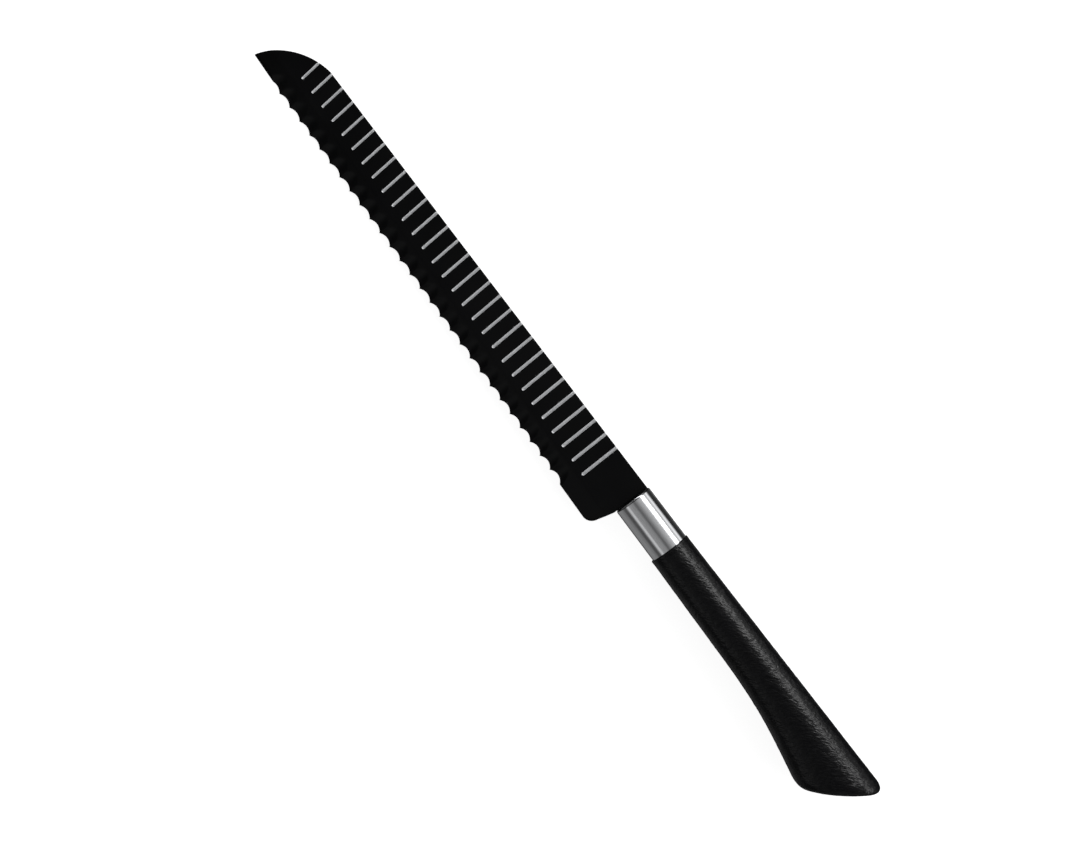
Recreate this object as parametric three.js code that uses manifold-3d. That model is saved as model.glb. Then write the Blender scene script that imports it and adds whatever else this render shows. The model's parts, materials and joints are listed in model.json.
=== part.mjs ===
// A bread knife lying on its right side, in millimetres, +Z up.
// Each piece is drawn in the knife's own frame: +X runs to the tip, +Y to the cutting edge and
// +Z out of the left side of the blade. x = 0 is the bolster's front end, y = 0 the straight spine
// and z = 0 the middle of the blade's thickness. layDown() then leans the knife onto the surface.
import * as THREE from 'three';
import { mergeVertices } from 'three/addons/utils/BufferGeometryUtils.js';
import Module from 'manifold-3d';

// Blade
const bladeLength = 203.4;
const bladeThickness = 2;
const tipHeight = 17.4;
const tipRadius = 26.77;
const tipArcRise = 0.27;
const tipEdgeFall = 0.048;
const edgeFall = 0.0279;
const cuspHeight = 18.3;
const scallopCount = 29;
const scallopPitch = 5.99;
const scallopDepths = [1, 1.3];
const firstCusp = 193.3;
const bevelThickness = 0.4;
const hollowAngle = 22;
const bevelWidth = 6.5;
const heelProud = 0.2;
const heelFillet = 3.5;
const heelRearHeight = 14.9;
const heelRearSlope = 0.245;

// Cooling grooves, cut through the coating on the left side
const grooveCount = 29;
const firstGroove = 186.6;
const groovePitch = 6.041;
const grooveWidth = 1.05;
const grooveDepth = 0.25;
const grooveReach = [9.4, 15.4];
const grooveLean = [5.7, 1.1];

// Tang and its pins
const gap = 0.3;
const tangHeight = 8;
const tangThickness = 1.6;
const tangTop = 2.6;
const tangEnd = -100;
const tangRoot = 5; // how far it runs into the blade
const pinPlaces = [-46, -84];
const pinRadius = 1.5;
const pinLength = 8;

// Bolster sleeve, an oval tube with a closed front
const bolsterLength = 21.3;
const bolsterTop = -0.5;
const bolsterHeights = [14.15, 14.35];
const bolsterHalfWidths = [6.3, 6.4];
const bolsterWall = 0.9;
const fillerEnd = -13.5;

// Grip skin and the core inside it
const gripFront = -21.6;
const gripSkin = 2.2;
const neckStart = -14.5;
const neckRoot = 4; // how far the neck runs into the core
const cavityReach = [0.02, 0.86]; // shares of the grip's length
const coreReach = [0.023, 0.857];
const gripSquareness = 2.05;
const frontHalfWidth = 7;
const middleHalfWidth = 7.1;
const buttHalfWidth = 7.3;

// Facets round each shape, and the reach of a cutter past what it cuts
const wheelSides = 88;
const ovalSides = 48;
const gripSides = 32;
const coreSides = 24;
const pinSides = 24;
const gripRings = 36;
const coreRings = 16;
const overrun = 20;

// How the knife lies: nose down, and rolled over towards the spine
const nosePitch = 1.567;
const spineRoll = 0.9192;

const finishes = {
  coating: { color: 0x0d0d0e, roughness: 0.45, metalness: 0.6 },
  steel: { color: 0xc9cbcd, roughness: 0.25, metalness: 1 },
  filler: { color: 0x8f8a7c, roughness: 0.7, metalness: 0 },
  core: { color: 0x2b2b2d, roughness: 0.6, metalness: 0 },
  grip: { color: 0x121213, roughness: 0.55, metalness: 0 },
};

const wasm = await Module();
wasm.setup();

function solid(geometry) {
  geometry.deleteAttribute('normal');
  geometry.deleteAttribute('uv');
  const merged = mergeVertices(geometry, 1e-4);
  return new wasm.Manifold(new wasm.Mesh({
    numProp: 3,
    vertProperties: new Float32Array(merged.attributes.position.array),
    triVerts: new Uint32Array(merged.index.array),
  }));
}

function mesh(name, manifold, finish) {
  const result = manifold.getMesh();
  const geometry = new THREE.BufferGeometry();
  geometry.setAttribute('position', new THREE.BufferAttribute(result.vertProperties, 3));
  geometry.setIndex(new THREE.BufferAttribute(result.triVerts, 1));
  geometry.computeVertexNormals();
  const piece = new THREE.Mesh(geometry, new THREE.MeshStandardMaterial(finishes[finish]));
  piece.name = name;
  return piece;
}

const mix = THREE.MathUtils.lerp;
const radians = THREE.MathUtils.degToRad;
const power = (value, exponent) => Math.sign(value) * Math.abs(value) ** exponent;

// A box given by its lowest and highest corners.
function block(low, high) {
  const size = high.map((value, axis) => value - low[axis]);
  const centre = high.map((value, axis) => (value + low[axis]) / 2);
  return solid(new THREE.BoxGeometry(...size).translate(...centre));
}

// A closed skin through superelliptic sections. Each section spans from its top point to its
// bottom point in the XY plane and reaches half a width to either side of it.
function loft(sections, around, squareness) {
  const geometry = new THREE.CylinderGeometry(1, 1, 1, around, sections.length - 1);
  const points = geometry.attributes.position;
  const exponent = 2 / squareness;
  for (let i = 0; i < points.count; i += 1) {
    const section = sections[Math.round((0.5 - points.getY(i)) * (sections.length - 1))];
    const across = (1 + power(points.getZ(i), exponent)) / 2;
    const place = section.top.clone().lerp(section.bottom, across);
    points.setXYZ(i, place.x, place.y, section.halfWidth * power(points.getX(i), exponent));
  }
  return solid(geometry);
}

function ovalSection(x, top, bottom, halfWidth) {
  return { top: new THREE.Vector2(x, top), bottom: new THREE.Vector2(x, bottom), halfWidth };
}

const cuspLine = (x) => cuspHeight + edgeFall * (bladeLength - x);

// The blade's outline before the scallops are ground. The tip is an arc that meets the spine at
// a faint corner, and the plain heel stands a little prouder than the cusps.
function bladeOutline() {
  const arcHeight = tipRadius - tipArcRise;
  const arcCentre = bladeLength - Math.sqrt(tipRadius ** 2 - (arcHeight - tipHeight) ** 2);
  const spineAngle = -Math.asin(arcHeight / tipRadius);
  const tipAngle = Math.atan2(tipHeight - arcHeight, bladeLength - arcCentre);
  const firstValley = firstCusp - scallopPitch / 2;
  const lastCusp = firstCusp - scallopCount * scallopPitch;
  const heelHeight = cuspLine(0) + heelProud;
  const heelCorner = gap + (heelHeight - heelRearHeight) * heelRearSlope;
  const outline = new THREE.Shape();
  outline.moveTo(bladeLength, tipHeight);
  outline.lineTo(firstValley, tipHeight + tipEdgeFall * (bladeLength - firstValley));
  outline.lineTo(firstValley, cuspLine(firstValley));
  outline.lineTo(lastCusp, cuspLine(lastCusp) + heelProud);
  outline.lineTo(heelCorner + heelFillet, cuspLine(heelCorner + heelFillet) + heelProud);
  outline.quadraticCurveTo(heelCorner, heelHeight,
    heelCorner - heelFillet * heelRearSlope, heelHeight - heelFillet);
  outline.lineTo(gap, heelRearHeight);
  outline.lineTo(gap, 0);
  outline.absarc(arcCentre, arcHeight, tipRadius, spineAngle, tipAngle, false);
  return outline;
}

// The flat grind that thins the left side of the blade towards its edge.
function bevelCutter() {
  const top = bladeThickness / 2;
  const fall = (bladeThickness - bevelThickness) / bevelWidth;
  const reach = 4;
  const wedge = new THREE.Shape([
    new THREE.Vector2(-bevelWidth, top),
    new THREE.Vector2(reach, top - fall * (bevelWidth + reach)),
    new THREE.Vector2(reach, top + bladeThickness),
    new THREE.Vector2(-bevelWidth, top + bladeThickness),
  ]);
  const settings = { depth: bladeLength + 2 * overrun, bevelEnabled: false };
  const geometry = new THREE.ExtrudeGeometry(wedge, settings);
  // The wedge is drawn in Y and Z, so it turns from the XY plane to run along X.
  geometry.applyMatrix4(new THREE.Matrix4().set(0, 0, 1, -overrun, 1, 0, 0, 0, 0, 1, 0, 0, 0, 0, 0, 1));
  geometry.rotateZ(-Math.atan(edgeFall));
  return solid(geometry.translate(0, cuspLine(0), 0));
}

// One grinding wheel for each scallop: a cylinder that rises from the edge towards the spine.
function scallopCutter(index) {
  const angle = radians(hollowAngle);
  const depth = mix(scallopDepths[0], scallopDepths[1], index / (scallopCount - 1));
  const rise = depth * Math.sin(angle);
  const radius = scallopPitch ** 2 / (8 * rise) + rise / 2;
  const middle = firstCusp - (index + 0.5) * scallopPitch;
  const deepest = cuspLine(middle) - depth;
  const wheel = new THREE.CylinderGeometry(radius, radius, overrun, wheelSides);
  wheel.rotateY(Math.PI / wheelSides);
  wheel.translate(0, 0, radius);
  wheel.rotateX(-angle);
  return solid(wheel.translate(middle, deepest, -bladeThickness / 2));
}

function grooveCutter(index) {
  const along = index / (grooveCount - 1);
  const reach = mix(grooveReach[0], grooveReach[1], along);
  const half = grooveWidth / 2;
  const slot = new THREE.Shape();
  slot.moveTo(half, -reach);
  slot.lineTo(half, reach / 2 - half);
  slot.absarc(0, reach / 2 - half, half, 0, Math.PI, false);
  slot.lineTo(-half, -reach);
  const settings = { depth: bladeThickness, bevelEnabled: false, curveSegments: 6 };
  const geometry = new THREE.ExtrudeGeometry(slot, settings);
  geometry.rotateZ(radians(mix(grooveLean[0], grooveLean[1], along)));
  const floor = bladeThickness / 2 - grooveDepth;
  return solid(geometry.translate(firstGroove - index * groovePitch, reach / 2, floor));
}

function pinCylinder(x, radius, length) {
  const cylinder = new THREE.CylinderGeometry(radius, radius, length, pinSides);
  return solid(cylinder.rotateX(Math.PI / 2).translate(x, tangTop + tangHeight / 2, 0));
}

function blade() {
  const settings = { depth: bladeThickness, bevelEnabled: false, curveSegments: 28 };
  const blank = new THREE.ExtrudeGeometry(bladeOutline(), settings);
  let body = solid(blank.translate(0, 0, -bladeThickness / 2));
  body = body.subtract(bevelCutter());
  for (let i = 0; i < scallopCount; i += 1) {
    body = body.subtract(scallopCutter(i));
  }
  for (let i = 0; i < grooveCount; i += 1) {
    body = body.subtract(grooveCutter(i));
  }
  body = body.add(tangBlock(0));
  for (const x of pinPlaces) {
    body = body.subtract(pinCylinder(x, pinRadius + gap, bladeThickness * 2));
  }
  return body;
}

// The tang, grown by a clearance on every side.
function tangBlock(clearance) {
  const half = tangThickness / 2 + clearance;
  return block(
    [tangEnd - clearance, tangTop - clearance, -half],
    [tangRoot, tangTop + tangHeight + clearance, half],
  );
}

// A length of the bolster's oval, shrunk by an inset, from x = front to x = rear.
function bolsterOval(front, rear, inset) {
  const sections = [front, rear].map((x) => {
    const along = -x / bolsterLength;
    const height = mix(bolsterHeights[0], bolsterHeights[1], along);
    const halfWidth = mix(bolsterHalfWidths[0], bolsterHalfWidths[1], along) - inset;
    return ovalSection(x, bolsterTop + inset, bolsterTop + height - inset, halfWidth);
  });
  return loft(sections, ovalSides, 2);
}

function bolster() {
  const bore = bolsterOval(-bolsterWall, -bolsterLength - 1, bolsterWall);
  return bolsterOval(0, -bolsterLength, 0).subtract(bore).subtract(tangBlock(gap));
}

function bolsterFiller() {
  const plug = bolsterOval(-bolsterWall - gap, fillerEnd, bolsterWall + gap);
  return plug.subtract(tangBlock(gap));
}

// The grip's side view: a straight back and a belly that swells to the beak. Both lines turn
// round the butt and stop a little apart at the middle of its slanted end.
function gripBack() {
  const back = new THREE.Path();
  back.moveTo(gripFront, -0.9);
  back.lineTo(-129, -1.95);
  back.bezierCurveTo(-133, -2.1, -134.4, -0.2, -132.7, 2.6);
  back.bezierCurveTo(-131.2, 5.3, -128.7, 8.4, -126.4, 11.3);
  return back;
}

function gripBelly() {
  const belly = new THREE.Path();
  belly.moveTo(gripFront, 14.5);
  belly.lineTo(-64, 15.3);
  belly.bezierCurveTo(-83, 15.7, -92, 17.2, -108.5, 20.6);
  belly.bezierCurveTo(-114, 21.8, -115.8, 21.3, -118.4, 19.1);
  belly.bezierCurveTo(-120.6, 17.4, -123.1, 15.1, -125.4, 12.5);
  return belly;
}

// Sections along the grip, each shrunk by an inset. Past the widest slanted section the width
// falls in step with the height, which closes the butt.
function gripSections(count, inset = 0, reach = [0, 1]) {
  const back = gripBack();
  const belly = gripBelly();
  const sections = [];
  for (let i = 0; i < count; i += 1) {
    const along = mix(reach[0], reach[1], i / (count - 1));
    const top = back.getPointAt(along);
    const bottom = belly.getPointAt(along);
    sections.push({ top, bottom, along, span: top.distanceTo(bottom) });
  }
  const widest = sections.reduce((best, section) => (section.span > best.span ? section : best));
  return sections.map(({ top, bottom, along, span }) => {
    const swell = along < 0.5
      ? mix(frontHalfWidth, middleHalfWidth, THREE.MathUtils.smoothstep(along, 0, 0.5))
      : mix(middleHalfWidth, buttHalfWidth, THREE.MathUtils.smoothstep(along, 0.5, 0.85));
    const closing = along > widest.along ? span / widest.span : 1;
    return {
      top: top.clone().lerp(bottom, inset / span),
      bottom: bottom.clone().lerp(top, inset / span),
      halfWidth: swell * closing - inset,
    };
  });
}

function neck(clearance) {
  return bolsterOval(neckStart, -bolsterLength - neckRoot, bolsterWall + gap - clearance);
}

function grip() {
  const cavity = loft(gripSections(coreRings, gripSkin, cavityReach), coreSides, gripSquareness);
  const outside = loft(gripSections(gripRings), gripSides, gripSquareness);
  return outside.subtract(cavity).subtract(neck(gap));
}

// The core without its parting, tang slot and pin holes.
function coreBlank() {
  const sections = gripSections(coreRings, gripSkin + gap, coreReach);
  return loft(sections, coreSides, gripSquareness).add(neck(0));
}

// Half of the core, on the side that the sign gives. The halves part along the blade's middle.
function handleCore(side) {
  const reach = side * overrun;
  const parting = side * gap / 2;
  const half = block(
    [-bladeLength, -overrun, Math.min(parting, reach)],
    [0, 2 * overrun, Math.max(parting, reach)],
  );
  let core = coreBlank().intersect(half).subtract(tangBlock(gap));
  for (const x of pinPlaces) {
    core = core.subtract(pinCylinder(x, pinRadius + gap, pinLength + gap * 2));
  }
  return core;
}

// Leans the knife until the curve of the tip and the front of the grip both touch the
// surface, then puts the origin at the bottom centre of its box.
function layDown(pieces) {
  const knife = new THREE.Group();
  knife.add(...pieces);
  knife.rotation.set(radians(spineRoll), radians(nosePitch), 0, 'YXZ');
  const placed = new THREE.Group();
  placed.add(knife);
  placed.updateMatrixWorld(true);
  const box = new THREE.Box3().setFromObject(placed, true);
  const centre = box.getCenter(new THREE.Vector3());
  knife.position.set(-centre.x, -centre.y, -box.min.z);
  return placed;
}

export default layDown([
  mesh('blade', blade(), 'coating'),
  mesh('bolster_sleeve', bolster(), 'steel'),
  mesh('bolster_filler', bolsterFiller(), 'filler'),
  mesh('handle_core_left', handleCore(1), 'core'),
  mesh('handle_core_right', handleCore(-1), 'core'),
  ...pinPlaces.map((x, i) => mesh(['tang_pin_front', 'tang_pin_rear'][i],
    pinCylinder(x, pinRadius, pinLength), 'steel')),
  mesh('grip', grip(), 'grip'),
]);
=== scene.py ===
# A bread knife lying on its right side: a black coated blade with ground scallops and bare steel
# grooves, an oval steel bolster, and a leather-grained soft grip over a plastic core.
import json
import math

import bmesh
import bpy
import numpy as np
from mathutils import Matrix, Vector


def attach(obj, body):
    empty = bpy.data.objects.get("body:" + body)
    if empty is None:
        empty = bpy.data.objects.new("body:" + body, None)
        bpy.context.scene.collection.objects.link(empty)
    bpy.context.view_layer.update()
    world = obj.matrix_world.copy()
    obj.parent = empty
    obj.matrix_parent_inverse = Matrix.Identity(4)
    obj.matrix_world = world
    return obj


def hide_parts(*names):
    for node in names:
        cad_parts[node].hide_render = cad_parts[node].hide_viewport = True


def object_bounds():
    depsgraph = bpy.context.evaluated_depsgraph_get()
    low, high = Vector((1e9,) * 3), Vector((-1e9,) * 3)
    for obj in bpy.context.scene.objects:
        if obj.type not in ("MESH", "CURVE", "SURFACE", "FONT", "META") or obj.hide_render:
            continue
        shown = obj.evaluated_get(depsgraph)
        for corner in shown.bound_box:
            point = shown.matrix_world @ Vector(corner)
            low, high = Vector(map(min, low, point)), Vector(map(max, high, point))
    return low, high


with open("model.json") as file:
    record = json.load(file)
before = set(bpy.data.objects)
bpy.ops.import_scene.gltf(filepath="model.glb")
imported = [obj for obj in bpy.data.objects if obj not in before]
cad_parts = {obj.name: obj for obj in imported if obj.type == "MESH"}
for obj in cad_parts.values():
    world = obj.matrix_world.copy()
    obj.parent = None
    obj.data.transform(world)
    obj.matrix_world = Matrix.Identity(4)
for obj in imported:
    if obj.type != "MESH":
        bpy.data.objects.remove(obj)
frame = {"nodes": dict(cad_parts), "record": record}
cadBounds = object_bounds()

mm = 0.001
seamGap = 1e-7  # metres: vertices nearer than this to each other are one
tiny = 1e-9  # keeps a division or a rounding off zero
print("frame loaded")

# The knife's own frame: +X to the tip, +Y to the cutting edge, +Z out of the left side of the
# blade, in millimetres, with x = 0 at the bolster's front and y = 0 at the spine. How it lies is
# read from the mount on the blade's left side.
lie = {
    "mount": "blade_left_face",
    "mountPlace": (99.3, 4.0, 1.0),  # where that mount sits in the knife's own frame
}


def knifeFrame():
    # axes: the face's normal, the length that leaves no sideways part, and the one across both
    mount = next(m for m in frame["record"]["mounts"] if m["name"] == lie["mount"])
    up = np.array(mount["axis"])
    along = np.cross((0.0, 1.0, 0.0), up)
    along /= np.linalg.norm(along)
    axes = np.array([along, np.cross(up, along), up])
    return axes, np.array(mount["pos_m"]) - np.array(lie["mountPlace"]) * mm @ axes


knifeAxes, knifeOrigin = knifeFrame()


def placed(points):
    # knife millimetres to the frame's metres: origin + point carried by the three axes
    return knifeOrigin + np.asarray(points, dtype=float) * mm @ knifeAxes


def smooth(low, high, value):
    # 0 below low, 1 above high, 3t^2 - 2t^3 between them
    t = np.clip((value - low) / (high - low), 0.0, 1.0)
    return t * t * (3.0 - 2.0 * t)


def crowded(count, start, end, places, width, weight):
    # positions from start to end, packed closer near the given places: equal steps of the
    # integral of 1 + weight * exp(-(distance / width)^2)
    samples = 4000
    fine = np.linspace(start, end, samples)
    density = np.ones_like(fine)
    for place in places:
        density += weight * np.exp(-(((fine - place) / width) ** 2))
    total = np.concatenate([[0.0], np.cumsum((density[1:] + density[:-1]) / 2)])
    return np.interp(np.linspace(0.0, total[-1], count), total, fine)


def gridQuads(rows, columns, closed=False):
    # quads of a rows x columns grid of vertices, wrapped round the columns if asked
    last = columns if closed else columns - 1
    r, c = np.meshgrid(np.arange(rows - 1), np.arange(last), indexing="ij")
    n = (c + 1) % columns
    return np.stack(
        [r * columns + c, r * columns + n, (r + 1) * columns + n, (r + 1) * columns + c], axis=-1
    ).reshape(-1, 4)


def outward(points, quads):
    # quads wound so that the closed surface they make has a positive signed volume
    a, b, c, d = (points[quads[:, i]] for i in range(4))
    volume = np.einsum("ij,ij->i", a, np.cross(b, c) + np.cross(c, d)).sum()
    return quads if volume > 0 else quads[:, ::-1]


def makePiece(name, points, quads, material, replaces=(), attributes=None):
    # a smooth closed mesh from knife-frame points, riding on the one body
    mesh = bpy.data.meshes.new(name)
    mesh.from_pydata(placed(points).tolist(), [], quads.tolist())
    for key, values in (attributes or {}).items():
        layer = mesh.attributes.new(key, "FLOAT", "POINT")
        layer.data.foreach_set("value", np.asarray(values, dtype=np.float32))
    mergeDoubles(mesh)
    mesh.polygons.foreach_set("use_smooth", np.ones(len(mesh.polygons), dtype=bool))
    mesh.materials.append(material)
    piece = bpy.data.objects.new(name, mesh)
    bpy.context.scene.collection.objects.link(piece)
    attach(piece, "root")
    if replaces:
        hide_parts(*replaces)
    print("made", name, len(mesh.polygons), "faces")
    return piece


def mergeDoubles(mesh):
    # the points where a grid closes on itself, such as the butt of the grip, become one vertex
    work = bmesh.new()
    work.from_mesh(mesh)
    bmesh.ops.remove_doubles(work, verts=work.verts, dist=seamGap)
    bmesh.ops.dissolve_degenerate(work, edges=work.edges, dist=seamGap)
    work.to_mesh(mesh)
    work.free()


def colour(hexValue):
    # an sRGB hex colour as linear RGBA
    channels = [int(hexValue[i : i + 2], 16) / 255 for i in (0, 2, 4)]
    return [c / 12.92 if c <= 0.04045 else ((c + 0.055) / 1.055) ** 2.4 for c in channels] + [1.0]


def newMaterial(name):
    material = bpy.data.materials.new(name)
    material.use_nodes = True
    material.node_tree.nodes.clear()
    return material, material.node_tree


def addNode(tree, kind, settings=None, links=None):
    # settings name sockets or properties; links name the socket that takes another node's output
    node = tree.nodes.new(kind)
    for key, value in (settings or {}).items():
        if isinstance(key, int) or key in node.inputs:
            node.inputs[key].default_value = value
        else:
            setattr(node, key, value)
    for key, source in (links or {}).items():
        tree.links.new(source, node.inputs[key])
    return node


def knifeCoordinates(tree, scale=(1.0, 1.0, 1.0), slant=0.0):
    # object coordinates turned to the knife's own axes, so a pattern runs along the knife, or at
    # a slant to it in degrees
    turn = (Matrix.Rotation(-math.radians(slant), 3, "Z") @ Matrix(knifeAxes.tolist())).to_euler()
    place = addNode(tree, "ShaderNodeTexCoord")
    turned = addNode(
        tree,
        "ShaderNodeMapping",
        {"Rotation": tuple(turn)},
        {"Vector": place.outputs["Object"]},
    )
    return addNode(
        tree, "ShaderNodeMapping", {"Scale": scale}, {"Vector": turned.outputs["Vector"]}
    ).outputs["Vector"]


def noise(tree, place, scale, detail):
    return addNode(
        tree, "ShaderNodeTexNoise", {"Scale": scale, "Detail": detail}, {"Vector": place}
    )


def bumped(tree, height, strength, distance):
    # a normal raised by a height; the distance is in metres
    return addNode(
        tree, "ShaderNodeBump", {"Strength": strength, "Distance": distance}, {"Height": height}
    ).outputs["Normal"]


def ramp(tree, source, stops):
    # each stop is a place from 0 to 1 and a grey value or a colour
    node = addNode(tree, "ShaderNodeValToRGB", links={"Fac": source})
    elements = node.color_ramp.elements
    for i, (place, value) in enumerate(stops):
        element = elements[i] if i < 2 else elements.new(place)
        element.position = place
        element.color = value if hasattr(value, "__len__") else (value, value, value, 1.0)
    return node.outputs["Color"]


def finish(tree, surface):
    addNode(tree, "ShaderNodeOutputMaterial", links={"Surface": surface})


def nonStickCoating():
    # Black fluoropolymer coating baked onto ground stainless steel. It gives the eye a deep
    # satin black with a faint orange peel, and bare bright steel in the grooves cut through it.
    material, tree = newMaterial("blackNonStickCoating")
    place = knifeCoordinates(tree)
    peel = noise(tree, place, scale=1400.0, detail=3.0)
    cloud = noise(tree, place, scale=60.0, detail=2.0)
    tint = ramp(tree, cloud.outputs["Fac"], [(0.3, colour("070708")), (0.7, colour("0a0a0b"))])
    gloss = ramp(tree, cloud.outputs["Fac"], [(0.3, 0.28), (0.7, 0.34)])
    orangePeel = bumped(tree, peel.outputs["Fac"], strength=0.12, distance=0.00004)
    black = addNode(
        tree,
        "ShaderNodeBsdfPrincipled",
        {"IOR": 1.38, "Specular IOR Level": 0.2},
        {"Base Color": tint, "Roughness": gloss, "Normal": orangePeel},
    )
    # wheel marks run down each groove, 0.1 mm apart
    drawn = knifeCoordinates(tree, (9000.0, 500.0, 500.0))
    marks = noise(tree, drawn, scale=1.0, detail=4.0)
    steel = addNode(
        tree,
        "ShaderNodeBsdfPrincipled",
        {"Metallic": 1.0},
        {
            "Base Color": ramp(
                tree, marks.outputs["Fac"], [(0.3, colour("cacbcd")), (0.7, colour("e2e3e5"))]
            ),
            "Roughness": ramp(tree, marks.outputs["Fac"], [(0.3, 0.58), (0.7, 0.68)]),
            "Normal": bumped(tree, marks.outputs["Fac"], strength=0.3, distance=0.00002),
        },
    )
    # the coating ends within 0.02 mm of a groove's lip
    lip = addNode(tree, "ShaderNodeAttribute", {"attribute_name": "grooveLip"})
    bare = addNode(
        tree,
        "ShaderNodeMapRange",
        {"From Min": 0.02, "From Max": -0.02, "To Min": 0.0, "To Max": 1.0},
        {"Value": lip.outputs["Fac"]},
    )
    both = addNode(
        tree,
        "ShaderNodeMixShader",
        links={0: bare.outputs["Result"], 1: black.outputs["BSDF"], 2: steel.outputs["BSDF"]},
    )
    finish(tree, both.outputs["Shader"])
    return material


def polishedSteel():
    # 18/0 stainless, drawn and then mop-polished with a light lengthwise brush: crisp bands of
    # reflection with a fine grain in them.
    material, tree = newMaterial("brushPolishedStainless")
    grain = addNode(
        tree,
        "ShaderNodeTexNoise",
        {"Scale": 1.0, "Detail": 5.0, "Roughness": 0.65},
        {"Vector": knifeCoordinates(tree, (700.0, 5000.0, 5000.0))},
    )
    steel = addNode(
        tree,
        "ShaderNodeBsdfPrincipled",
        {"Metallic": 1.0},
        {
            "Base Color": ramp(
                tree, grain.outputs["Fac"], [(0.3, colour("c3c4c6")), (0.7, colour("d6d7d9"))]
            ),
            "Roughness": ramp(tree, grain.outputs["Fac"], [(0.3, 0.09), (0.7, 0.14)]),
            "Normal": bumped(tree, grain.outputs["Fac"], strength=0.1, distance=0.00001),
        },
    )
    finish(tree, steel.outputs["BSDF"])
    return material


def leatherGrainRubber():
    # Black soft-touch elastomer moulded in an etched tool. The mesh holds the leather's pebbles;
    # the bump adds slanting wrinkles about 0.8 mm apart and 2.4 mm long, and pores between them,
    # which break the long highlight into short strokes. The base colour is painted darker in the
    # wrinkles' creases as painted shade.
    material, tree = newMaterial("leatherGrainElastomer")
    place = knifeCoordinates(tree, (0.45, 1.3, 1.0), grip["wrinkleSlant"])
    bend = noise(tree, place, scale=500.0, detail=2.0)
    shift = addNode(
        tree,
        "ShaderNodeVectorMath",
        {"operation": "MULTIPLY_ADD", 1: (0.0016, 0.0016, 0.0016)},
        {0: bend.outputs["Color"], 2: place},
    )
    cells = addNode(
        tree,
        "ShaderNodeTexVoronoi",
        {"feature": "DISTANCE_TO_EDGE", "Scale": 900.0},
        {"Vector": shift.outputs["Vector"]},
    )
    pores = noise(tree, place, scale=3000.0, detail=2.0)
    # 0 in a wrinkle's crease, 1 on the flat between: the bump's height, and also the mask of the
    # painted shade in the base colour
    wrinkleHeightAndShade = ramp(tree, cells.outputs["Distance"], [(0.0, 0.0), (0.4, 1.0)])
    height = addNode(
        tree,
        "ShaderNodeMath",
        {"operation": "MULTIPLY_ADD", 1: 0.15},
        {0: pores.outputs["Fac"], 2: wrinkleHeightAndShade},
    )
    rubber = addNode(
        tree,
        "ShaderNodeBsdfPrincipled",
        {"IOR": 1.45, "Specular IOR Level": 0.27},
        {
            # painted shade: the base colour goes darker down in the wrinkles' creases
            "Base Color": ramp(tree, wrinkleHeightAndShade, [(0.0, colour("08080a")), (1.0, colour("0d0d0e"))]),
            "Roughness": ramp(tree, pores.outputs["Fac"], [(0.3, 0.21), (0.7, 0.28)]),
            "Normal": bumped(tree, height.outputs["Value"], strength=0.6, distance=0.00008),
        },
    )
    finish(tree, rubber.outputs["BSDF"])
    return material


def mouldedPolypropylene():
    # Hard black plastic of the hidden core, spark-textured: an even, slightly grey matt.
    material, tree = newMaterial("mouldedPolypropylene")
    spark = noise(tree, knifeCoordinates(tree), scale=2200.0, detail=2.0)
    plastic = addNode(
        tree,
        "ShaderNodeBsdfPrincipled",
        {"IOR": 1.49},
        {
            "Base Color": ramp(
                tree, spark.outputs["Fac"], [(0.3, colour("202022")), (0.7, colour("2a2a2c"))]
            ),
            "Roughness": ramp(tree, spark.outputs["Fac"], [(0.3, 0.5), (0.7, 0.62)]),
            "Normal": bumped(tree, spark.outputs["Fac"], strength=0.4, distance=0.00005),
        },
    )
    finish(tree, plastic.outputs["BSDF"])
    return material


def castEpoxy():
    # Filled epoxy resin poured round the tang: dull putty grey with darker specks of filler.
    material, tree = newMaterial("castEpoxyFiller")
    specks = addNode(
        tree,
        "ShaderNodeTexVoronoi",
        {"Scale": 900.0},
        {"Vector": knifeCoordinates(tree)},
    )
    resin = addNode(
        tree,
        "ShaderNodeBsdfPrincipled",
        {"IOR": 1.55},
        {
            "Base Color": ramp(
                tree, specks.outputs["Distance"], [(0.1, colour("6f695c")), (0.4, colour("a59e8c"))]
            ),
            "Roughness": ramp(tree, specks.outputs["Distance"], [(0.0, 0.7), (0.6, 0.55)]),
        },
    )
    finish(tree, resin.outputs["BSDF"])
    return material


def drawnWire():
    # Cold-drawn steel wire of the hidden pins: grey metal with faint lines from the die along it.
    material, tree = newMaterial("coldDrawnSteelWire")
    drawn = knifeCoordinates(tree, (6000.0, 6000.0, 400.0))
    lines = noise(tree, drawn, scale=1.0, detail=3.0)
    wire = addNode(
        tree,
        "ShaderNodeBsdfPrincipled",
        {"Metallic": 1.0},
        {
            "Base Color": ramp(
                tree, lines.outputs["Fac"], [(0.3, colour("9fa0a2")), (0.7, colour("bcbdbf"))]
            ),
            "Roughness": ramp(tree, lines.outputs["Fac"], [(0.3, 0.28), (0.7, 0.42)]),
        },
    )
    finish(tree, wire.outputs["BSDF"])
    return material


print("materials ready")

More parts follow.
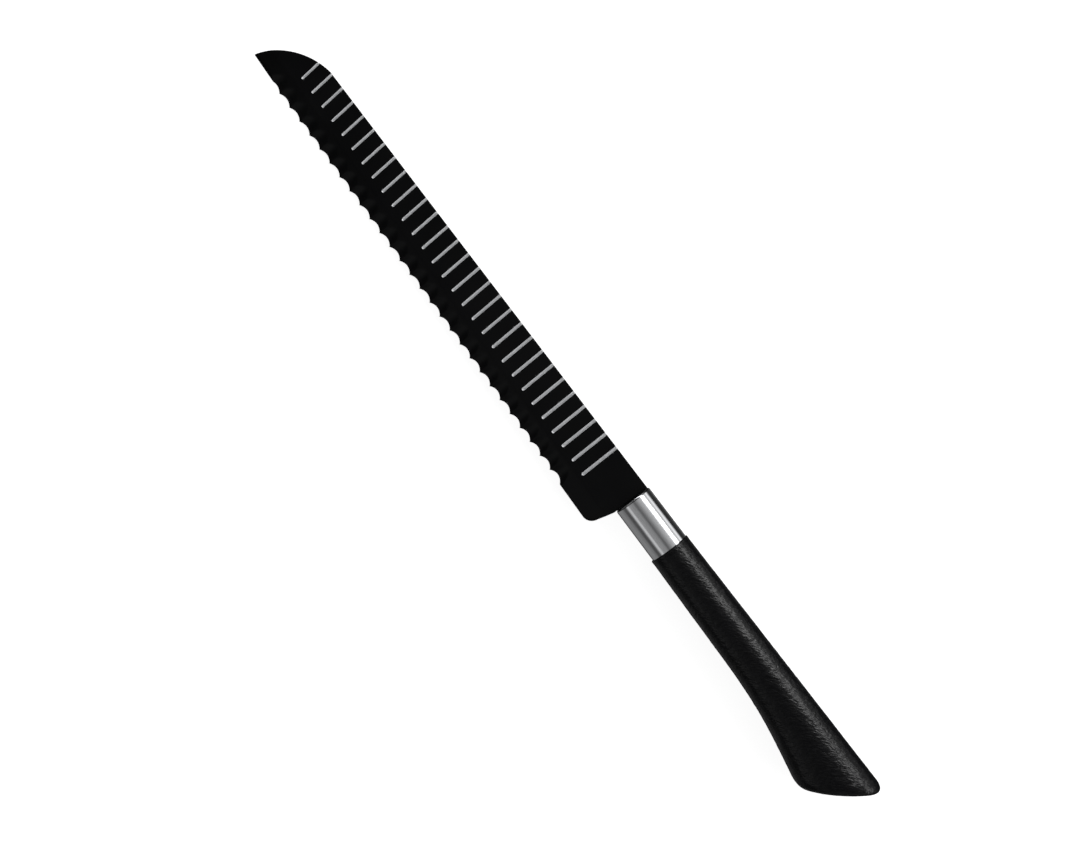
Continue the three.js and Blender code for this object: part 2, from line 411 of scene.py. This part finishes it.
blade = {
    "length": 203.4,
    "thickness": 2.0,
    "tipHeight": 17.4,
    "tipRadius": 26.77,
    "tipArcRise": 0.27,  # that the arc's highest point would stand above the spine
    "tipEdgeFall": 0.048,
    "edgeFall": 0.0279,
    "cuspHeight": 18.3,
    "firstCusp": 193.3,
    "scallops": 29,
    "scallopPitch": 5.99,
    "scallopDepth": (1.0, 1.3),  # at the tip and at the heel
    "bevelThickness": 0.4,  # that the bevel would leave at the cusps
    "edgeThickness": 0.05,
    "edgeAngle": 38.0,  # of the last narrow grind, degrees
    "hollowAngle": 22.0,  # at which the wheel cuts a scallop's hollow, degrees
    "bevelWidth": 6.5,
    "crease": 0.06,  # over which two ground faces blend
    "edgeCrease": 0.02,
    "heelProud": 0.2,  # beyond the line of the cusps
    "heelRadius": 4.0,
    "heelCorner": 45.0,  # where the rear outline meets the edge on that round, degrees
    "rearStart": 0.04,
    "rearStraight": 14.4,  # the height at which the rear starts to slant
    "rearSlope": 0.245,
    "spineRound": 0.22,
    "spineShare": 0.4,  # the most that the round takes of the thickness
    "grooves": 29,
    "firstGroove": 186.6,
    "groovePitch": 6.041,
    "grooveWidth": (0.9, 1.12),  # these pairs are at the tip and at the heel
    "grooveDepth": 0.22,
    "grooveReach": (9.4, 15.4),  # how far below the spine a groove ends
    "grooveLean": (5.7, 1.1),  # degrees
    "grooveShare": 0.36,  # where a groove stands in its stretch of columns
    "columnsPerScallop": 24,
    "lipCrowding": (0.14, 7.0),  # width and weight of the closer columns at a groove's lips
    "tipColumns": 44,
    "tipCrowding": 1.7,  # a power, over 1 for closer columns at the tip
    "heelColumns": 34,
    "heelCrowding": 0.9,  # a power, under 1 for closer columns at the rear
    "rimRows": 6,  # in the spine's round
    "rimShare": 0.03,
    "grooveRows": 16,  # on down to the groove's end
    "grooveCrowding": ((0.97,), 0.05, 9.0),  # places, width and weight of the closer rows
    "edgeRows": 24,  # on to the edge
    "edgeCrowding": ((1.02, 1.99), 0.05, 4.0),
    "plainGap": 0.4,  # from the groove's end to where its rows end
    "splitShares": (0.42, 0.8),  # the least and the most of the blade that those rows take
    "reachLimits": (-0.2, 1.1),  # shares of the grooved length over which their reach changes
    "bendEnd": 1.75,  # the row share by which a column stands at its place along the edge
    "tang": {"top": 2.6, "height": 8.0, "thickness": 1.6, "front": 1.0, "end": -100.0},
}


def cuspLine(x):
    # the height of the cusps: a straight line that falls away from the spine towards the heel
    return blade["cuspHeight"] + blade["edgeFall"] * (blade["length"] - x)


def spineLine(x):
    # the straight spine at 0, and the arc to the tip: its centre's height less
    # sqrt(radius^2 - reach^2), where that is past the spine
    radius = blade["tipRadius"]
    height = radius - blade["tipArcRise"]
    centre = blade["length"] - math.sqrt(radius**2 - (height - blade["tipHeight"]) ** 2)
    reach = np.clip(x - centre, 0.0, radius)
    return np.maximum(height - np.sqrt(radius**2 - reach**2), 0.0)


def wheel(x):
    # The grinding wheel that cuts a scallop: its tilt, the y of its deepest line on the right side,
    # and how far its round surface stands off that line at x: r - sqrt(r^2 - off^2).
    angle = math.radians(blade["hollowAngle"])
    index = np.floor((blade["firstCusp"] - x) / blade["scallopPitch"] + tiny)
    index = np.clip(index, 0, blade["scallops"] - 1)
    middle = blade["firstCusp"] - (index + 0.5) * blade["scallopPitch"]
    depth = np.interp(index / (blade["scallops"] - 1), (0, 1), blade["scallopDepth"])
    rise = depth * math.sin(angle)
    radius = blade["scallopPitch"] ** 2 / (8 * rise) + rise / 2
    limit = 0.95 * radius  # keeps the square root real away from the scallop
    off = np.clip(x - middle, -limit, limit)
    return angle, cuspLine(middle) - depth, radius - np.sqrt(radius**2 - off**2)


def edgeLine(x):
    # the blank's edge, straight along the tip, the cusps and the heel and round at the heel's
    # corner, cut back to the arcs that the wheels leave: deepest line + lift / sin(tilt)
    first, pitch = blade["firstCusp"], blade["scallopPitch"]
    last = first - blade["scallops"] * pitch
    proud = blade["heelProud"] * np.clip((first - x) / (first - last), 0.0, 1.0)
    tip = blade["tipHeight"] + blade["tipEdgeFall"] * (blade["length"] - x)
    blank = np.where(x > first - pitch / 2, tip, cuspLine(x) + proud)
    centreX, centreY = heelCentre()
    over = np.clip(centreX - x, 0.0, blade["heelRadius"])
    corner = centreY + np.sqrt(blade["heelRadius"] ** 2 - over**2)
    blank = np.where(x < centreX, np.minimum(blank, corner), blank)
    angle, deepest, lift = wheel(x)
    return np.minimum(blank, deepest + lift / math.sin(angle))


def heelCentre():
    # the centre of the round that is tangent to the heel's edge and to the slanted rear
    slope, radius = blade["rearSlope"], blade["heelRadius"]
    y = cuspLine(radius) + blade["heelProud"] - radius
    slanted = blade["rearStart"] + slope * (y - blade["rearStraight"])
    return slanted + radius * math.sqrt(1 + slope**2), y


def rearLine(y):
    # the upright shoulder at the bolster, the slanted rear, then the round of the heel
    centreX, centreY = heelCentre()
    slanted = blade["rearStart"] + blade["rearSlope"] * np.clip(y - blade["rearStraight"], 0, None)
    over = np.clip(y - centreY, 0.0, blade["heelRadius"])
    rounded = centreX - np.sqrt(blade["heelRadius"] ** 2 - over**2)
    tangent = centreY + blade["heelRadius"] * blade["rearSlope"] / math.sqrt(
        1 + blade["rearSlope"] ** 2
    )
    return np.where(y > tangent, rounded, slanted)


def softMin(a, b, blend):
    # the lower of two heights, with the crease between them rounded over a blend
    h = np.clip(0.5 + 0.5 * (b - a) / blend, 0.0, 1.0)
    return b * (1 - h) + a * h - blend * h * (1 - h)


def bladeColumns():
    # For each column: where it stands at groove level and at the edge, the groove's lean, and
    # the groove it belongs to (-1 for none).
    pitch, groovePitch = blade["scallopPitch"], blade["groovePitch"]
    share, half = blade["grooveShare"], sum(blade["grooveWidth"]) / 4
    count = blade["columnsPerScallop"]
    periods = blade["scallops"] + 1
    offsets = crowded(
        count + 1,
        -share * groovePitch,
        (1 - share) * groovePitch,
        (-half, half),
        *blade["lipCrowding"],
    )[:-1]
    period = np.repeat(np.arange(periods), count)
    groove = period - 1
    along = np.clip(groove, 0, None) / (blade["grooves"] - 1)
    lean = np.interp(along, (0, 1), blade["grooveLean"])
    upper = blade["firstGroove"] - groove * groovePitch - np.tile(offsets, periods)
    lower = blade["firstCusp"] - (period + np.tile(np.arange(count) / count, periods)) * pitch
    tipShare = np.linspace(0, 1, blade["tipColumns"], endpoint=False) ** blade["tipCrowding"]
    tipUpper = blade["length"] + tipShare * (upper[0] - blade["length"])
    tipLower = blade["length"] + tipShare * (lower[0] - blade["length"])
    return {
        "upper": np.concatenate([tipUpper, upper]),
        "lower": np.concatenate([tipLower, lower]),
        "lean": np.concatenate([tipShare * lean[0], lean]),
        "groove": np.concatenate([np.full(blade["tipColumns"], -1), groove]),
    }


def bladeRows():
    # shares of the way from spine to groove end (0 to 1) and on to the edge (1 to 2)
    quarter = np.linspace(0, math.pi / 2, blade["rimRows"])
    rim = blade["rimShare"] * (1 - np.cos(quarter))
    upper = crowded(blade["grooveRows"] + 1, rim[-1], 1.0, *blade["grooveCrowding"])[1:]
    lower = crowded(blade["edgeRows"] + 1, 1.0, 2.0, *blade["edgeCrowding"])[1:]
    return np.concatenate([rim, upper, lower])


def bladePlan():
    # x, y of every row and column in plan. A column runs down its groove's own line, then bends
    # over to its place along the edge; at the heel the columns fan out to the rear outline.
    columns = bladeColumns()
    rows = bladeRows()
    tan = np.tan(np.radians(columns["lean"]))
    along = (blade["firstGroove"] - columns["upper"]) / (
        blade["groovePitch"] * (blade["grooves"] - 1)
    )
    reach = grooveReachAt(np.clip(along, *blade["reachLimits"]))
    topX = columns["upper"] + tan * reach / 2
    settling = 4  # the top's x and y depend on each other, so they are worked out in turn
    for _ in range(settling):
        topY = spineLine(topX)
        topX = columns["upper"] - tan * (topY - reach / 2)
    bottomX = columns["lower"]
    bottomY = edgeLine(bottomX)
    full = bottomY - topY
    grooved = reach + blade["plainGap"] - topY
    splitAt = np.clip(grooved / np.maximum(full, tiny), *blade["splitShares"])
    upperShare = np.clip(rows, 0, 1)[:, None] * splitAt
    share = upperShare + np.clip(rows - 1, 0, 1)[:, None] * (1 - splitAt)
    y = topY + share * full
    straight = columns["upper"] - tan * (y - reach / 2)
    bend = smooth(1.0, blade["bendEnd"], rows)[:, None]
    x = straight * (1 - bend) + bottomX * bend
    x[0], x[-1] = topX, bottomX
    # heel: from the last column to the rear outline
    w = np.linspace(0, 1, blade["heelColumns"] + 1)[1:] ** blade["heelCrowding"]
    corner = math.radians(blade["heelCorner"])
    cornerX = heelCentre()[0] - blade["heelRadius"] * math.sin(corner)
    heelBottomX = bottomX[-1] + w * (cornerX - bottomX[-1])
    heelBottomY = edgeLine(heelBottomX)
    heelY = share[:, -1:] * heelBottomY
    heelX = x[:, -1:] * (1 - w) + rearLine(heelY) * w
    heelX[-1] = heelBottomX
    x = np.hstack([x, heelX])
    y = np.hstack([y, heelY])
    groove = np.concatenate([columns["groove"], np.full(len(w), -1)])
    return x, y, groove


def grooveReachAt(along):
    first, last = blade["grooveReach"]
    return first + (last - first) * along


def grooveDistance(x, y, groove):
    # distance from the lip of the column's own groove, negative inside it, and the groove's half
    # width: a capsule that starts above the spine and ends in a half circle
    along = groove / (blade["grooves"] - 1)
    half = np.interp(along, (0, 1), blade["grooveWidth"]) / 2
    lean = np.radians(np.interp(along, (0, 1), blade["grooveLean"]))
    reach = grooveReachAt(along)
    dx = x - (blade["firstGroove"] - groove * blade["groovePitch"])
    dy = y - reach / 2
    down = dy * np.cos(lean) - dx * np.sin(lean)
    aside = dx * np.cos(lean) + dy * np.sin(lean)
    beyond = np.maximum(down - (reach / 2 - half), 0.0)
    distance = np.hypot(aside, beyond) - half
    return np.where(groove >= 0, distance, blade["groovePitch"]), half


def leftSide(x, y, groove):
    # height of the left side: the lowest of the flat, the bevel, the hollow of the scallop and
    # the last grind at the edge, less the groove's round floor, depth * (1 - (aside / half)^2)
    top = blade["thickness"] / 2
    fall = (blade["thickness"] - blade["bevelThickness"]) / blade["bevelWidth"]
    bevel = -top + blade["bevelThickness"] + (cuspLine(x) - y) * fall
    angle, deepest, lift = wheel(x)
    ground = -top + (deepest - y) * math.tan(angle) + lift / math.cos(angle)
    height = softMin(np.full_like(x, top), bevel, blade["crease"])
    height = softMin(height, ground, blade["crease"])
    thin = -top + blade["edgeThickness"]
    last = thin + (edgeLine(x) - y) * math.tan(math.radians(blade["edgeAngle"]))
    height = np.maximum(softMin(height, last, blade["edgeCrease"]), thin)
    distance, half = grooveDistance(x, y, groove)
    depth = blade["grooveDepth"] * (1 - np.clip((distance + half) / half, 0.0, 1.0) ** 2)
    return height - depth, distance


def bladeSurface():
    # A grid that closes round the blade: down the left side and back up the right side in every
    # column. The rear wall joins each row of one side to the same row of the other.
    x, y, groove = bladePlan()
    rows, columns = x.shape
    z, distance = leftSide(x, y, np.broadcast_to(groove, x.shape))
    top = blade["thickness"] / 2
    # the spine's corners are rounded: the height falls by r - sqrt(r^2 - (r - depth)^2)
    radius = np.minimum(blade["spineRound"], blade["spineShare"] * (z + top))
    depth = np.clip(y - y[0], 0.0, radius)
    fall = radius - np.sqrt(np.maximum(radius**2 - (radius - depth) ** 2, 0.0))
    left = np.stack([x, y, z - fall], axis=-1)
    right = np.stack([x, y, fall - top], axis=-1)[::-1]
    points = np.concatenate([left, right]).transpose(1, 0, 2).reshape(-1, 3)
    lips = np.concatenate([distance, np.full_like(distance, blade["length"])]).T.reshape(-1)
    base = (columns - 1) * 2 * rows
    row = np.arange(rows - 1)
    rear = [row, row + 1, 2 * rows - 2 - row, 2 * rows - 1 - row]
    quads = np.vstack([gridQuads(columns, 2 * rows, closed=True), base + np.stack(rear, axis=-1)])
    return points, quads, lips


def tangBar():
    # a plain bar through the bolster and into the core, from inside the blade's rear wall
    tang = blade["tang"]
    half = tang["thickness"] / 2
    xs, ys = (tang["end"], tang["front"]), (tang["top"], tang["top"] + tang["height"])
    corners = np.array([(x, y, z) for x in xs for y in ys for z in (-half, half)])
    sides = [(0, 1, 3, 2), (4, 6, 7, 5), (0, 4, 5, 1), (2, 3, 7, 6), (0, 2, 6, 4), (1, 5, 7, 3)]
    return corners, np.array(sides)


def makeBlade():
    points, quads, lips = bladeSurface()
    bar, sides = tangBar()
    quads = np.vstack([outward(points, quads), outward(bar, sides) + len(points)])
    lips = np.concatenate([lips, np.full(len(bar), blade["length"])])
    return makePiece(
        "coated_blade",
        np.vstack([points, bar]),
        quads,
        nonStickCoating(),
        replaces=("blade",),
        attributes={"grooveLip": lips},
    )


bolster = {
    "length": 21.5,
    "top": -0.5,
    "heights": (14.15, 14.35),
    "halfWidths": (6.3, 6.4),
    "wall": 0.9,
    "frontRound": 0.9,
    "rearRound": 0.12,
    "lipStep": 0.05,  # from a round to the first ring beyond it
    "faceRings": 6,
    "roundRings": 9,
    "outsideRings": 40,
    "boreRings": 12,
    "around": 256,
}


def ovalPlace(x, inset, turn):
    # a point of the bolster's oval at x, drawn in from its outer surface by an inset: middle +
    # half the height * cos and half the width * sin
    along = -x / bolster["length"]
    half = np.interp(along, (0, 1), bolster["heights"]) / 2
    width = np.interp(along, (0, 1), bolster["halfWidths"])
    middle = bolster["top"] + half
    y = middle + np.maximum(half - inset, 0.0) * np.cos(turn)
    z = np.maximum(width - inset, 0.0) * np.sin(turn)
    return np.stack(np.broadcast_arrays(x, y, z), axis=-1)


def makeBolster():
    # A wall's section carried round the oval: out over the closed front, round its edge, along the
    # outside, round the rear lip, back along the bore and over the front's inner face. Each stretch
    # gives x and the inset from the outer surface.
    wall, front, rear = bolster["wall"], bolster["frontRound"], bolster["rearRound"]
    length, centre, step = bolster["length"], max(bolster["heights"]), bolster["lipStep"]
    face, outside, bore = (bolster[key] for key in ("faceRings", "outsideRings", "boreRings"))
    quarter = np.linspace(0, math.pi / 2, bolster["roundRings"])
    stretches = [
        (np.zeros(face), np.linspace(centre, front + step, face)),
        (-front * (1 - np.cos(quarter)), front * (1 - np.sin(quarter))),
        (np.linspace(-front - step, -length + rear + step, outside), np.zeros(outside)),
        (-length + rear * (1 - np.sin(quarter)), rear * (1 - np.cos(quarter))),
        (np.linspace(-length, -wall - step, bore), np.full(bore, wall)),
        (np.full(face, -wall), np.linspace(wall + step, centre, face)),
    ]
    x, inset = (np.concatenate(values)[:, None] for values in zip(*stretches))
    turn = np.linspace(0, 2 * math.pi, bolster["around"], endpoint=False)[None, :]
    points = ovalPlace(x, inset, turn).reshape(-1, 3)
    quads = outward(points, gridQuads(len(x), bolster["around"], closed=True))
    return makePiece(
        "steel_bolster",
        points,
        quads,
        polishedSteel(),
        replaces=("bolster_sleeve",),
    )


grip = {
    "skin": 2.2,
    "cavityEnd": 0.86,  # share of the length
    "cavityCap": 0.01,  # how much further the point that closes the cavity stands
    "frontRound": 0.15,
    "frontStep": 0.1,  # from that round to the first ring of the outside
    "squareness": (2.0, 2.35),  # of the section towards the back and towards the belly
    "halfWidths": (7.0, 7.1, 7.3),
    "swellAt": (0.0, 0.5, 0.85),  # the shares of the length with those half widths
    "back": [
        [(-21.6, -0.9), (-129.0, -1.95)],
        [(-129.0, -1.95), (-133.0, -2.1), (-134.4, -0.2), (-132.7, 2.6)],
        [(-132.7, 2.6), (-131.2, 5.3), (-128.6, 8.5), (-125.9, 11.9)],
    ],
    "belly": [
        [(-21.6, 14.5), (-64.0, 15.3)],
        [(-64.0, 15.3), (-83.0, 15.7), (-92.0, 17.2), (-108.5, 20.6)],
        [(-108.5, 20.6), (-114.0, 21.8), (-115.8, 21.3), (-118.4, 19.1)],
        [(-118.4, 19.1), (-120.6, 17.4), (-123.4, 14.9), (-125.9, 11.9)],
    ],
    "length": 112.0,  # along its back and belly, from the front to the butt
    "grainHeight": 0.14,
    "grainRise": 8.0,  # outer rings over which the relief rises from the front
    "grainEnd": 0.96,  # the share of the length from which it dies away to the butt
    "grainBend": (1.8, 2.6),  # how far the relief is bent, and the cell of that bending
    "pebbleCell": 2.2,
    "pebblePower": 0.6,
    "wrinkleCell": 0.9,
    "wrinklePower": 0.7,
    "wrinkleSlant": 40.0,  # of the fine wrinkles, degrees
    "wrinkleDraw": (0.5, 1.3),  # scales along and across that slant
    "outerRings": 520,
    "lipRings": 8,
    "innerRings": 40,
    "around": 172,
}


def latticeNoise(points, cell, seed):
    # random values on a lattice of cells, blended between the eight nearest by 3t^2 - 2t^3
    place = points / cell
    place = place - np.floor(place.min(axis=0))
    low = np.floor(place).astype(int)
    share = smooth(0.0, 1.0, place - low)
    lattice = np.random.default_rng(seed).random(low.max(axis=0) + 2)
    total = np.zeros(len(points))
    for corner in np.ndindex(2, 2, 2):
        weight = np.prod(np.where(corner, share, 1 - share), axis=1)
        total += weight * lattice[tuple((low + corner).T)]
    return total


def leatherRelief(points):
    # height of the moulded leather, 0 in a crease to 1 on a domed pebble: |2n - 1| of lattice
    # noise to a power below 1, whose zero lines are the creases, with the places bent by a coarser
    # noise first. The fine wrinkles are drawn out along a slant over the handle.
    bendBy, bendCell = grip["grainBend"]
    bent = points.copy()
    for axis, seed in enumerate((11, 12, 13)):
        bent[:, axis] += bendBy * latticeNoise(points, bendCell, seed)
    slant = math.radians(grip["wrinkleSlant"])
    along = bent[:, 0] * math.cos(slant) + bent[:, 1] * math.sin(slant)
    across = bent[:, 1] * math.cos(slant) - bent[:, 0] * math.sin(slant)
    alongScale, acrossScale = grip["wrinkleDraw"]
    drawn = np.stack([along * alongScale, across * acrossScale, bent[:, 2]], axis=-1)
    pebbles = np.abs(2 * latticeNoise(bent, grip["pebbleCell"], seed=21) - 1)
    wrinkles = np.abs(2 * latticeNoise(drawn, grip["wrinkleCell"], seed=22) - 1)
    return 0.5 * pebbles ** grip["pebblePower"] + 0.5 * wrinkles ** grip["wrinklePower"]


def curvePoints(segments, shares):
    # points at equal shares of the length of a run of straight lines and cubic curves
    samples = 600
    t = np.linspace(0, 1, samples)[:, None]
    run = []
    for segment in segments:
        p = np.array(segment)
        if len(p) == 2:
            run.append(p[0] + (p[1] - p[0]) * t)
        else:
            weights = ((1 - t) ** 3, 3 * (1 - t) ** 2 * t, 3 * (1 - t) * t**2, t**3)
            run.append(sum(w * q for w, q in zip(weights, p)))
    run = np.vstack(run)
    walked = np.concatenate([[0.0], np.cumsum(np.linalg.norm(np.diff(run, axis=0), axis=1))])
    shares = np.asarray(shares) * walked[-1]
    return np.stack([np.interp(shares, walked, run[:, i]) for i in range(2)], axis=-1)


def gripRings(shares, inset):
    # Superelliptic rings: round the ring, the reach from the middle towards the belly is
    # half the span * cos^(2/n) and the reach aside is half the width * sin^(2/n). Past the widest
    # ring the width falls in step with the height, which closes the butt.
    top, bottom = curvePoints(grip["back"], shares), curvePoints(grip["belly"], shares)
    span = np.linalg.norm(bottom - top, axis=1)
    samples = 800
    fine = np.linspace(0, 1, samples)
    spans = np.linalg.norm(
        curvePoints(grip["back"], fine) - curvePoints(grip["belly"], fine), axis=1
    )
    widest = fine[np.argmax(spans)]
    first, middle, last = grip["swellAt"]
    a, b, c = grip["halfWidths"]
    half = a + (b - a) * smooth(first, middle, shares) + (c - b) * smooth(middle, last, shares)
    half = half * np.where(shares > widest, span / spans.max(), 1.0)
    turn = np.linspace(0, 2 * math.pi, grip["around"], endpoint=False)[None, :]
    toBack, toBelly = grip["squareness"]
    power = 2 / np.where(np.cos(turn) < 0, toBack, toBelly)
    across = np.sign(np.cos(turn)) * np.abs(np.cos(turn)) ** power
    aside = np.sign(np.sin(turn)) * np.abs(np.sin(turn)) ** power
    reach = np.maximum(span / 2 - inset, 0.0)[:, None]
    middlePlace = (top + bottom) / 2
    way = (bottom - top) / np.maximum(span, tiny)[:, None]
    plan = middlePlace[:, None, :] + way[:, None, :] * (reach * across)[:, :, None]
    z = np.maximum(half - inset, 0.0)[:, None] * aside
    return np.concatenate([plan, z[:, :, None]], axis=-1)


def makeGrip():
    # one grid from the bottom of the cavity forward to the mouth, round the lip and back over
    # the outside to the butt, with the leather's relief raised on the outside
    lip, length = grip["frontRound"], grip["length"]
    quarter = np.linspace(0, math.pi / 2, grip["lipRings"])
    inner = np.linspace(grip["cavityEnd"], 0.0, grip["innerRings"])
    outer = np.linspace((lip + grip["frontStep"]) / length, 1.0, grip["outerRings"])
    cap = grip["cavityEnd"] + grip["cavityCap"]
    # the cavity's cap is inset by more than its half width, so all its points are one
    stretches = [
        ([cap], [length]),
        (inner, np.full(len(inner), grip["skin"])),
        (lip * (1 - np.cos(quarter)) / length, lip * (1 - np.sin(quarter))),
        (outer, np.zeros(len(outer))),
    ]
    shares, insets = (np.concatenate(values) for values in zip(*stretches))
    rings = gripRings(shares, insets)
    steps = np.gradient(rings, axis=0)
    turns = np.roll(rings, -1, axis=1) - np.roll(rings, 1, axis=1)
    # a ring turns from the belly over the left side to the back, so these normals point outwards
    normals = np.cross(steps, turns)
    normals /= np.maximum(np.linalg.norm(normals, axis=2, keepdims=True), tiny)
    relief = leatherRelief(rings.reshape(-1, 3)).reshape(rings.shape[:2])
    outside = len(shares) - len(outer)
    rise = smooth(0.0, grip["grainRise"], np.arange(len(outer)))
    rise *= smooth(1.0, grip["grainEnd"], outer)
    heights = grip["grainHeight"] * (relief[outside:] - 1.0) * rise[:, None]
    rings[outside:] += normals[outside:] * heights[:, :, None]
    points = rings.reshape(-1, 3)
    quads = outward(points, gridQuads(len(rings), grip["around"], closed=True))
    return makePiece(
        "leather_grain_grip", points, quads, leatherGrainRubber(), replaces=("grip",)
    )


makeBlade()
makeBolster()
makeGrip()

coreMaterial, wireMaterial = mouldedPolypropylene(), drawnWire()
hiddenFinishes = {
    "bolster_filler": castEpoxy(),
    "handle_core_left": coreMaterial,
    "handle_core_right": coreMaterial,
    "tang_pin_front": wireMaterial,
    "tang_pin_rear": wireMaterial,
}
for nodeName, material in hiddenFinishes.items():
    for slot in frame["nodes"][nodeName].material_slots:
        slot.material = material
print("hidden parts finished")

studio = {
    "floorSize": 6.0,
    "floorGlow": 0.9,
    "cameraAim": (38.7, 15.1, 0.0),  # the place on the blade's middle plane at the view's centre
    "cameraDistance": 590.0,
    "cameraTurn": 52.674,  # how far the knife stands up from the view's bottom edge, degrees
    "framedWidth": 380.6,  # of the blade's middle plane, millimetres
    "sensor": 36.0,
    # brightness by the angle about the knife, 0 overhead and negative on the spine's side
    "boxes": [
        (-180, 0.15), (-140, 0.15), (-128, 0.05), (-95, 0.03), (-82, 1.25), (-75, 1.25), (-70, 0.7),
        (-64, 0.7), (-58, 1.2), (-54, 9.5), (-44, 9.5), (-40, 1.2), (-33, 0.65), (-19, 0.5),
        (-8, 0.3), (1, 0.18), (6, 0.15), (11, 0.26), (17, 0.33), (37, 0.38), (43, 0.75), (49, 0.75),
        (54, 0.38), (60, 0.11), (72, 0.1), (84, 0.23), (107, 0.3), (138, 0.26), (150, 0.05),
        (180, 0.05),
    ],
    # a share of that by how far a direction points to the butt (-1) or to the tip (1)
    "fades": [
        (-0.8, 0.6), (-0.5, 0.45), (-0.3, 0.36), (-0.25, 0.42), (-0.2, 0.66), (-0.15, 1.05),
        (-0.12, 1.2), (-0.09, 1.0), (0.0, 1.05), (0.1, 1.15), (0.16, 0.6), (0.2, 0.28),
        (0.3, 0.1), (0.45, 0.1), (0.6, 0.3), (0.8, 0.5),
    ],
}


def makeFloor():
    # a lit white table: it glows nearly white by itself, so shadows on it stay faint
    size = studio["floorSize"] / 2
    low = cadBounds[0].z
    mesh = bpy.data.meshes.new("lit_table")
    corners = [(-size, -size, low), (size, -size, low), (size, size, low), (-size, size, low)]
    mesh.from_pydata(corners, [], [(0, 1, 2, 3)])
    floor = bpy.data.objects.new("lit_table", mesh)
    bpy.context.scene.collection.objects.link(floor)
    material, tree = newMaterial("litWhiteTable")
    surface = addNode(
        tree,
        "ShaderNodeBsdfPrincipled",
        {
            "Base Color": colour("c8c8c8"),
            "Roughness": 0.9,
            "Specular IOR Level": 0.0,
            "Emission Color": colour("ffffff"),
            "Emission Strength": studio["floorGlow"],
        },
    )
    finish(tree, surface.outputs["BSDF"])
    mesh.materials.append(material)
    floor.visible_glossy = False


def makeWorld():
    # Long soft boxes round the knife: the light depends on the angle about the knife's length,
    # from below on the spine's side through overhead to below on the edge's side, and changes
    # along it. The view itself sees plain white.
    world = bpy.data.worlds.new("studio")
    bpy.context.scene.world = world
    world.use_nodes = True
    tree = world.node_tree
    tree.nodes.clear()
    direction = addNode(tree, "ShaderNodeTexCoord").outputs["Generated"]
    along, across, up = (
        addNode(
            tree,
            "ShaderNodeVectorMath",
            {"operation": "DOT_PRODUCT", 1: tuple(axis)},
            {0: direction},
        ).outputs["Value"]
        for axis in knifeAxes
    )
    angle = addNode(tree, "ShaderNodeMath", {"operation": "ARCTAN2"}, {0: across, 1: up})
    share = addNode(
        tree,
        "ShaderNodeMapRange",
        {"From Min": -math.pi, "From Max": math.pi},
        {"Value": angle.outputs["Value"]},
    )
    # the ramps hold shares of the strongest value, and the strength makes up for it
    strongest = max(value for _, value in studio["boxes"])
    stops = [((degrees + 180) / 360, value / strongest) for degrees, value in studio["boxes"]]
    lightRamp = ramp(tree, share.outputs["Result"], stops)
    lengthwise = addNode(
        tree, "ShaderNodeMapRange", {"From Min": -1.0, "From Max": 1.0}, {"Value": along}
    )
    highest = max(value for _, value in studio["fades"])
    stops = [((toTip + 1) / 2, value / highest) for toTip, value in studio["fades"]]
    fade = ramp(tree, lengthwise.outputs["Result"], stops)
    strength = addNode(
        tree, "ShaderNodeMath", {"operation": "MULTIPLY", 1: strongest * highest}, {0: fade}
    )
    boxes = addNode(
        tree,
        "ShaderNodeBackground",
        links={"Color": lightRamp, "Strength": strength.outputs["Value"]},
    )
    plain = addNode(tree, "ShaderNodeBackground", {"Color": colour("ffffff"), "Strength": 1.0})
    path = addNode(tree, "ShaderNodeLightPath")
    both = addNode(
        tree,
        "ShaderNodeMixShader",
        links={
            0: path.outputs["Is Camera Ray"],
            1: boxes.outputs["Background"],
            2: plain.outputs["Background"],
        },
    )
    addNode(tree, "ShaderNodeOutputWorld", links={"Surface": both.outputs["Shader"]})


def makeCamera():
    # Straight down on the blade's middle plane, turned so that the tip points up and left. The
    # lens is the sensor's width * distance / framed width.
    data = bpy.data.cameras.new("camera")
    data.sensor_width = studio["sensor"]
    data.lens = studio["sensor"] * studio["cameraDistance"] / studio["framedWidth"]
    camera = bpy.data.objects.new("camera", data)
    bpy.context.scene.collection.objects.link(camera)
    along, across, up = knifeAxes
    turn = math.radians(studio["cameraTurn"])
    right = -math.cos(turn) * along - math.sin(turn) * across
    top = math.sin(turn) * along - math.cos(turn) * across
    aim = np.array(studio["cameraAim"]) + (0, 0, studio["cameraDistance"])
    matrix = Matrix.Identity(4)
    for column, axis in enumerate((right, top, up, placed(aim))):
        for row in range(3):
            matrix[row][column] = axis[row]
    camera.matrix_world = matrix
    bpy.context.scene.camera = camera


makeFloor()
makeWorld()
makeCamera()
bpy.context.scene.view_settings.view_transform = "Standard"
print("studio ready")
